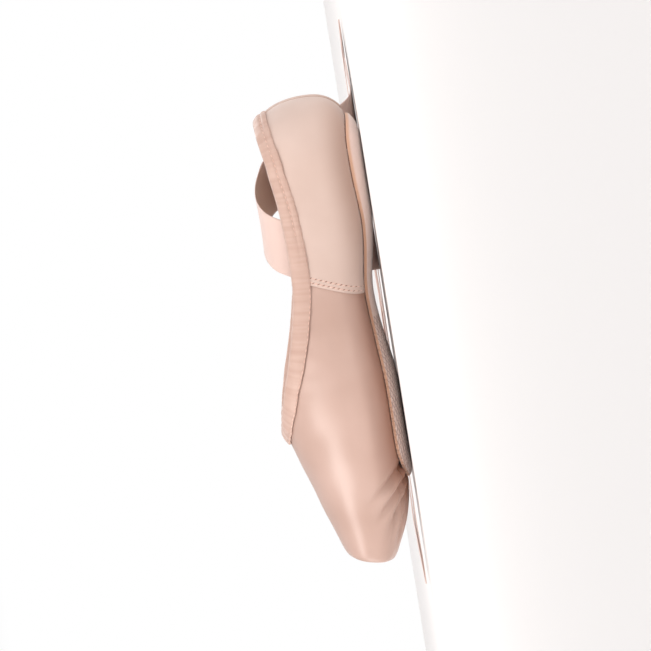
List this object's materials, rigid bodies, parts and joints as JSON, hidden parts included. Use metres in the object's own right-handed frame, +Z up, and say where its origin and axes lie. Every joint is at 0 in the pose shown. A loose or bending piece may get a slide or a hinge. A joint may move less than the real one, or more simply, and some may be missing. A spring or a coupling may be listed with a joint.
{
  "type": "pointe shoe",
  "caption": "Satin ballet pointe shoe with a stiff flat-ended box, drawstring binding, stitched side seams, narrow suede sole and ribbon ties, standing empty and flat.",
  "frame": {"origin": "on the floor plane under the ball of the foot, at the middle of the sole's forefoot flat", "axes": "+X to the toe, +Y to the wearer's left, +Z up"},
  "size_m": [0.2877, 0.1787, 0.0602],
  "materials": {
    "satin": "peach-pink satin, a soft bright sheen, matte stretch satin behind the side seam",
    "tape": "peach bias tape, low sheen",
    "suede": "grey-pink suede split, pressed lattice under the forefoot",
    "lining": "undyed cotton lining",
    "ribbon": "pale pink woven ribbon, matte with a slight sheen"
  },
  "bodies": {
    "root": {"upper": "satin", "binding": "tape", "outsole": "suede", "insole": "lining", "ribbon_left": "ribbon", "ribbon_right": "ribbon"}
  },
  "joints": []
}
